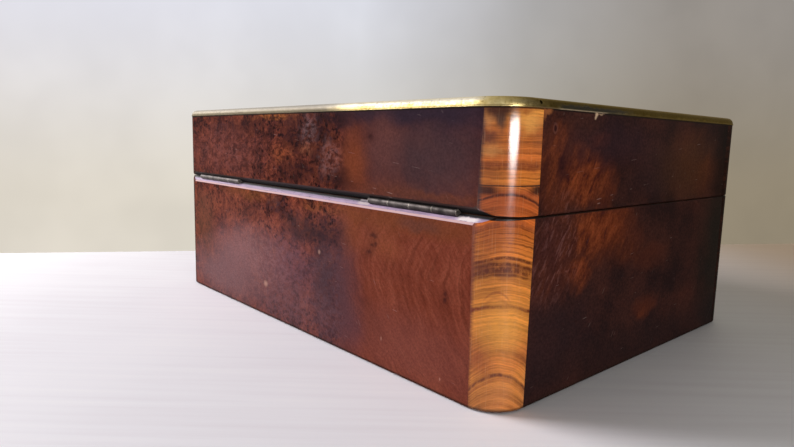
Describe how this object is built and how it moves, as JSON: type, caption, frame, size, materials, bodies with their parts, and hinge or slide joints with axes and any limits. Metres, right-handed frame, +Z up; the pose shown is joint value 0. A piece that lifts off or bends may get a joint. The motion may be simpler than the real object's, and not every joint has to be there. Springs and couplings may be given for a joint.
{
  "type": "hinged veneered box",
  "caption": "Free-standing veneered wooden box with rounded corners, a brass rim round its hinged lid, a sliding-bolt lock and a padded lining.",
  "frame": {"origin": "centre of the face that the box stands on", "axes": "+Z up, +Y towards the hinged back, +X along the length; the lock is on the -Y side and the lid turns about an axis along X at the back"},
  "size_m": [0.2806, 0.2146, 0.1186],
  "materials": {
    "carcass_wood": "plain sawn and oiled mahogany",
    "burr_veneer": "french polished dark red-brown burr veneer",
    "golden_corner_veneer": "french polished golden cross-grained veneer",
    "dark_corner_veneer": "french polished dark cross-grained veneer",
    "rim_brass": "worn and part tarnished brass",
    "aged_hinge_brass": "dark aged brass",
    "lock_brass": "dull brass",
    "old_steel": "dark old steel",
    "silk_lining": "faded crimson silk",
    "baize": "worn green baize"
  },
  "bodies": {
    "case": {"case_base_baize": "baize", "case_bottom_board": "carcass_wood", "case_corner_veneer_front_left": "dark_corner_veneer", "case_corner_veneer_front_right": "dark_corner_veneer", "case_corner_veneer_rear_left": "golden_corner_veneer", "case_corner_veneer_rear_right": "dark_corner_veneer", "case_floor_pad": "silk_lining", "case_front_board": "carcass_wood", "case_front_veneer": "burr_veneer", "case_left_board": "carcass_wood", "case_left_veneer": "burr_veneer", "case_lining_front": "silk_lining", "case_lining_left": "silk_lining", "case_lining_rear": "silk_lining", "case_lining_right": "silk_lining", "case_rear_board": "carcass_wood", "case_rear_veneer": "burr_veneer", "case_right_board": "carcass_wood", "case_right_veneer": "burr_veneer", "hinge_case_screws": "old_steel", "hinge_left_case_leaf": "aged_hinge_brass", "hinge_left_pin": "old_steel", "hinge_right_case_leaf": "aged_hinge_brass", "hinge_right_pin": "old_steel", "keyhole_escutcheon": "lock_brass", "lock_case": "lock_brass", "lock_key_pin": "lock_brass", "lock_plate": "lock_brass", "lock_screws": "old_steel", "lock_spring": "old_steel"},
    "lid": {"lid_brass_rim": "rim_brass", "lid_corner_veneer_front_left": "dark_corner_veneer", "lid_corner_veneer_front_right": "dark_corner_veneer", "lid_corner_veneer_rear_left": "golden_corner_veneer", "lid_corner_veneer_rear_right": "dark_corner_veneer", "lid_front_board": "carcass_wood", "lid_front_veneer": "burr_veneer", "lid_left_board": "carcass_wood", "lid_left_veneer": "burr_veneer", "lid_lining_front": "silk_lining", "lid_lining_left": "silk_lining", "lid_lining_rear": "silk_lining", "lid_lining_right": "silk_lining", "lid_link_plate": "lock_brass", "lid_link_screws": "old_steel", "lid_pad": "silk_lining", "lid_rear_board": "carcass_wood", "lid_rear_veneer": "burr_veneer", "lid_right_board": "carcass_wood", "lid_right_veneer": "burr_veneer", "lid_top_banding": "dark_corner_veneer", "lid_top_board": "carcass_wood", "lid_top_veneer": "burr_veneer", "hinge_left_lid_leaf": "aged_hinge_brass", "hinge_right_lid_leaf": "aged_hinge_brass", "hinge_lid_screws": "old_steel"},
    "bolt": {"lock_bolt": "lock_brass"}
  },
  "joints": [
    {"name": "lid_hinge", "type": "hinge", "parent": "case", "child": "lid", "pos_m": [0, 0.1047, 0.075], "axis": [-1, 0, 0], "range_deg": [0, 110.1]},
    {"name": "lock_bolt_slide", "type": "slide", "parent": "case", "child": "bolt", "axis": [1, 0, 0], "range_m": [0, 0.004]}
  ]
}
